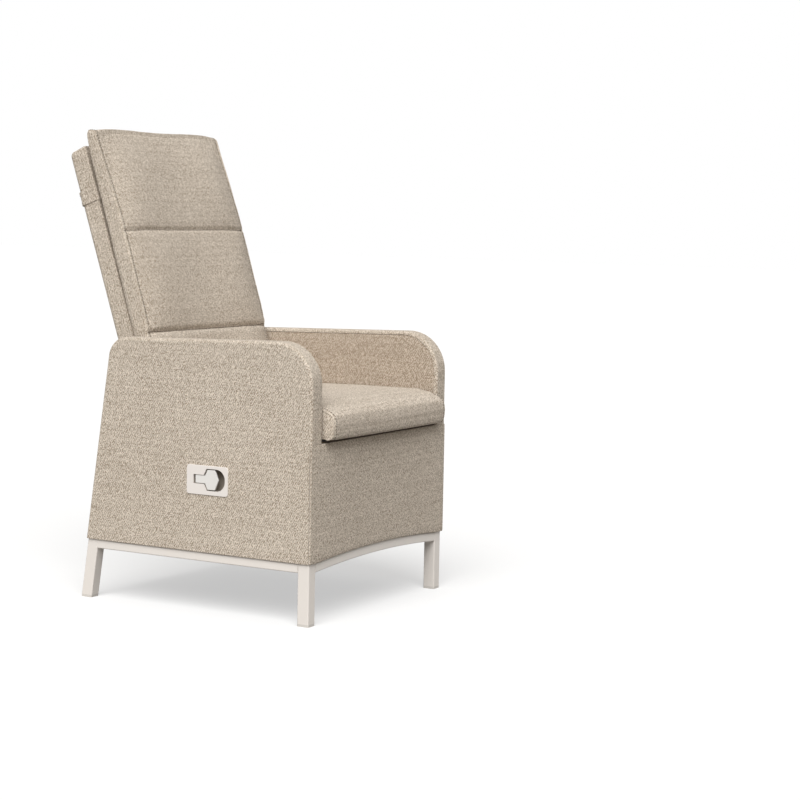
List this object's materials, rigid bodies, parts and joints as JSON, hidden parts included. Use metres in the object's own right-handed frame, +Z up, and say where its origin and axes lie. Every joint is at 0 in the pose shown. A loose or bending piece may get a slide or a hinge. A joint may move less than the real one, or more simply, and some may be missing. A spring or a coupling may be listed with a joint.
{
  "type": "reclining garden armchair",
  "caption": "Upholstered high-back garden armchair on a bent tube frame: padded arms, loose seat and back cushions, back reclining on a lockable gas spring with a side paddle.",
  "frame": {"origin": "on the floor, under the middle of the whole chair with its back upright", "axes": "+Z up; the sitter faces -Y; the release paddle is on the -X side, at the sitter's right hand"},
  "size_m": [0.616, 0.769, 1.1127],
  "materials": {
    "frame_paint": "powder coat, warm light grey",
    "inner_paint": "powder coat, dark grey",
    "side_fabric": "woven outdoor fabric, beige tweed",
    "board": "plain sheet",
    "zinc_steel": "zinc plated",
    "webbing": "woven elastic webbing",
    "seat_fabric": "woven outdoor fabric, grey beige",
    "back_fabric": "woven outdoor fabric, beige tweed",
    "strap_fabric": "woven elastic",
    "glide_plastic": "moulded",
    "bush_plastic": "moulded",
    "handle_plastic": "moulded, cream",
    "paddle_plastic": "moulded, light grey",
    "spring_steel": "spring wire",
    "wire_steel": "stranded wire with cast nipple",
    "sheath_plastic": "cable sheath",
    "head_metal": "die cast",
    "rod_chrome": "hard chrome",
    "cylinder_paint": "black paint"
  },
  "bodies": {
    "base": {"side_hoop_left": "frame_paint", "side_hoop_right": "frame_paint", "side_rail_left": "frame_paint", "side_rail_right": "frame_paint", "front_rail": "frame_paint", "rear_rail": "frame_paint", "foot_glides": "glide_plastic", "side_board_left": "board", "side_board_right": "board", "side_cover_left": "side_fabric", "side_cover_right": "side_fabric", "arm_inner_pad_left": "side_fabric", "arm_inner_pad_right": "side_fabric", "front_board": "board", "front_cover": "side_fabric", "rear_panel": "side_fabric", "seat_rail_left": "inner_paint", "seat_rail_right": "inner_paint", "seat_cross_front": "inner_paint", "seat_cross_middle": "inner_paint", "seat_cross_back": "inner_paint", "seat_cross_rear": "inner_paint", "seat_straps_cross": "webbing", "seat_straps_long": "webbing", "seat_cushion": "seat_fabric", "hinge_bracket_left": "zinc_steel", "hinge_bracket_right": "zinc_steel", "pivot_bushes": "bush_plastic", "anchor_bracket": "zinc_steel", "bracket_screws": "zinc_steel", "handle_housing": "handle_plastic", "paddle_pin": "zinc_steel", "paddle_spring": "spring_steel", "release_cable": "sheath_plastic"},
    "back": {"back_frame": "inner_paint", "back_cross_bar": "inner_paint", "back_straps": "webbing", "hinge_plate_left": "zinc_steel", "hinge_plate_right": "zinc_steel", "torque_tube": "inner_paint", "crank_plates": "inner_paint", "crank_pin": "zinc_steel", "pivot_bolts": "zinc_steel", "pivot_nuts": "zinc_steel", "back_shell_rear": "back_fabric", "back_shell_front": "back_fabric", "back_cushion": "back_fabric", "cushion_strap": "strap_fabric"},
    "spring_rod": {"release_head": "head_metal", "gas_rod": "rod_chrome", "lever_pin": "zinc_steel"},
    "spring_cylinder": {"gas_cylinder": "cylinder_paint", "gas_guide": "bush_plastic", "gas_eye": "zinc_steel"},
    "lever": {"release_lever": "zinc_steel"},
    "valve_pin": {"release_pin": "zinc_steel"},
    "wire_at_spring": {"cable_end_spring": "wire_steel"},
    "wire_at_handle": {"cable_end_handle": "wire_steel"},
    "paddle": {"release_paddle": "paddle_plastic"}
  },
  "joints": [
    {"name": "recline", "type": "hinge", "parent": "base", "child": "back", "pos_m": [0, 0.15965, 0.445], "axis": [-1, 0, 0], "range_deg": [0, 30]},
    {"name": "gas_spring_tilt", "type": "hinge", "parent": "base", "child": "spring_rod", "pos_m": [0, -0.05635, 0.366], "axis": [1, 0, 0], "range_deg": [0, 3.38]},
    {"name": "gas_spring_stroke", "type": "slide", "parent": "spring_rod", "child": "spring_cylinder", "axis": [0, -0.9996, 0.0278], "range_m": [0, 0.04302]},
    {"name": "paddle_pull", "type": "hinge", "parent": "base", "child": "paddle", "pos_m": [-0.2995, -0.04035, 0.311], "axis": [0, 0, -1], "range_deg": [0, 30], "stiffness_Nm_per_rad": 0.12, "springref_deg": -17.19},
    {"name": "handle_wire", "type": "slide", "parent": "base", "child": "wire_at_handle", "axis": [0, -1, 0], "range_m": [0, 0.00693]},
    {"name": "spring_wire", "type": "slide", "parent": "spring_rod", "child": "wire_at_spring", "axis": [0, 0.9996, -0.0278], "range_m": [0, 0.00693]},
    {"name": "lever_swing", "type": "hinge", "parent": "spring_rod", "child": "lever", "pos_m": [0.0105, -0.07634, 0.36656], "axis": [0, -0.0278, -0.9996], "range_deg": [0, 10.76]},
    {"name": "valve_pin_press", "type": "slide", "parent": "spring_rod", "child": "valve_pin", "axis": [0, 0.9996, -0.0278], "range_m": [0, 0.00235]}
  ],
  "couplings": [
    {"joint": "gas_spring_tilt", "follows": "recline", "ratio": 0.11217},
    {"joint": "gas_spring_stroke", "follows": "recline", "m_per_rad": 0.082162},
    {"joint": "handle_wire", "follows": "paddle_pull", "m_per_rad": 0.013232},
    {"joint": "spring_wire", "follows": "paddle_pull", "m_per_rad": 0.013232},
    {"joint": "lever_swing", "follows": "paddle_pull", "ratio": 0.35826},
    {"joint": "valve_pin_press", "follows": "paddle_pull", "m_per_rad": 0.0044882}
  ]
}
